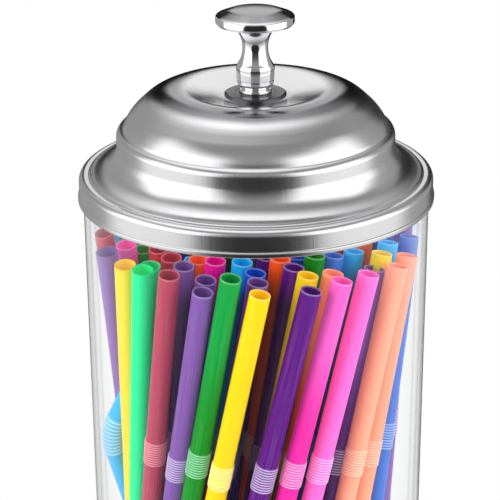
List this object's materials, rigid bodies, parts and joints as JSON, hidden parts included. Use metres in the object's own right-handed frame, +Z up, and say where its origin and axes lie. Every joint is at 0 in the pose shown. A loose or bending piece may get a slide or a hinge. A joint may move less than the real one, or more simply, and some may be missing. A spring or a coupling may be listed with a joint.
{
  "type": "straw dispenser",
  "caption": "Countertop straw dispenser: a tall clear round jar with a domed steel lid whose knob, rod and plate lift the coloured straws out of the jar.",
  "frame": {"origin": "centre of the jar's foot, on the surface it stands on", "axes": "+Z up along the jar and the lift rod; +X to the right and -Y towards the viewer"},
  "size_m": [0.1068, 0.1068, 0.2635],
  "materials": {
    "jar_clear": "clear, polished",
    "lid_steel": "spun and satin polished",
    "rosette_steel": "polished",
    "knob_chrome": "mirror",
    "rod_steel": "polished",
    "plate_steel": "satin",
    "fastener_steel": "plated",
    "straw_purple": "thin coloured film tube",
    "straw_yellow": "thin coloured film tube",
    "straw_green": "thin coloured film tube",
    "straw_red": "thin coloured film tube",
    "straw_pink": "thin coloured film tube",
    "straw_orange": "thin coloured film tube",
    "straw_blue": "thin coloured film tube",
    "straw_cyan": "thin coloured film tube"
  },
  "bodies": {
    "jar": {"jar": "jar_clear"},
    "lifter": {"lid_shell": "lid_steel", "lid_rosette": "rosette_steel", "knob_collar": "knob_chrome", "knob": "knob_chrome", "lift_rod": "rod_steel", "lid_washer": "fastener_steel", "lid_spring_washer": "fastener_steel", "lid_nut": "fastener_steel", "plate_jam_nut": "fastener_steel", "plate_upper_washer": "fastener_steel", "lifter_plate": "plate_steel", "plate_lower_washer": "fastener_steel", "plate_cap_nut": "fastener_steel", "straws_purple": "straw_purple", "straws_yellow": "straw_yellow", "straws_green": "straw_green", "straws_red": "straw_red", "straws_pink": "straw_pink", "straws_orange": "straw_orange", "straws_blue": "straw_blue", "straws_cyan": "straw_cyan"}
  },
  "joints": [
    {"name": "lid_lift", "type": "slide", "parent": "jar", "child": "lifter", "axis": [0, 0, 1], "range_m": [0, 0.215]}
  ]
}
